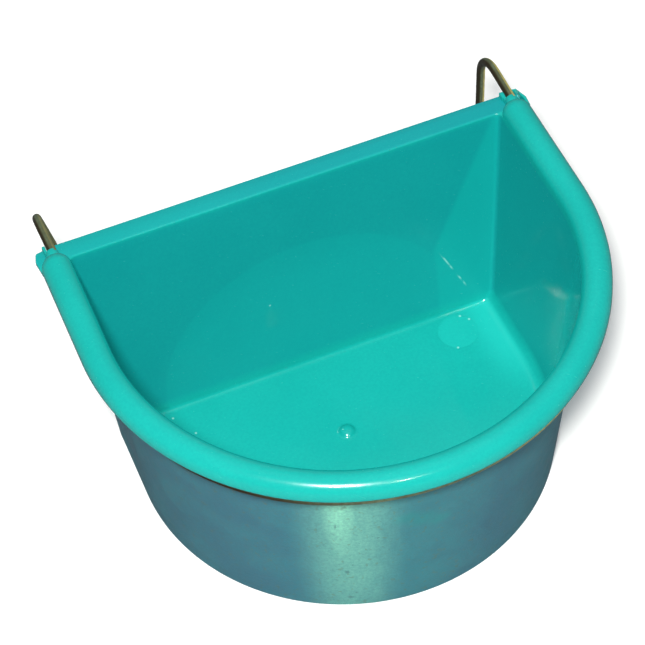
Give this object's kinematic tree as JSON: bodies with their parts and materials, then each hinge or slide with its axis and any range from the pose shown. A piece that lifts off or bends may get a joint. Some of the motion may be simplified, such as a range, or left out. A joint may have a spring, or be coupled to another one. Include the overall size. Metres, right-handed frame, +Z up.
{
  "type": "hook-over trough feeder",
  "caption": "D-shaped moulded plastic trough with a rolled rim and a flat back flange, hung on a bent wire that runs under the rim and ends in two rear hooks.",
  "frame": {"origin": "middle of the bowl's flat underside, on the surface it stands on", "axes": "+Z up, +Y to the back where the hooks are, +X to the bowl's right as seen from the front"},
  "size_m": [0.202, 0.1844, 0.1008],
  "materials": {
    "moulded_plastic": "teal polypropylene, glossy inside and on the rim, matt and scuffed outside",
    "plated_wire": "yellow-passivated zinc plate, dulled and stained"
  },
  "bodies": {
    "hanger": {"wire_hanger": "plated_wire"},
    "bowl": {"bowl": "moulded_plastic"}
  },
  "joints": [
    {"name": "bowl_lift", "type": "slide", "parent": "hanger", "child": "bowl", "axis": [0, 0, 1], "range_m": [0, 0.11]}
  ]
}
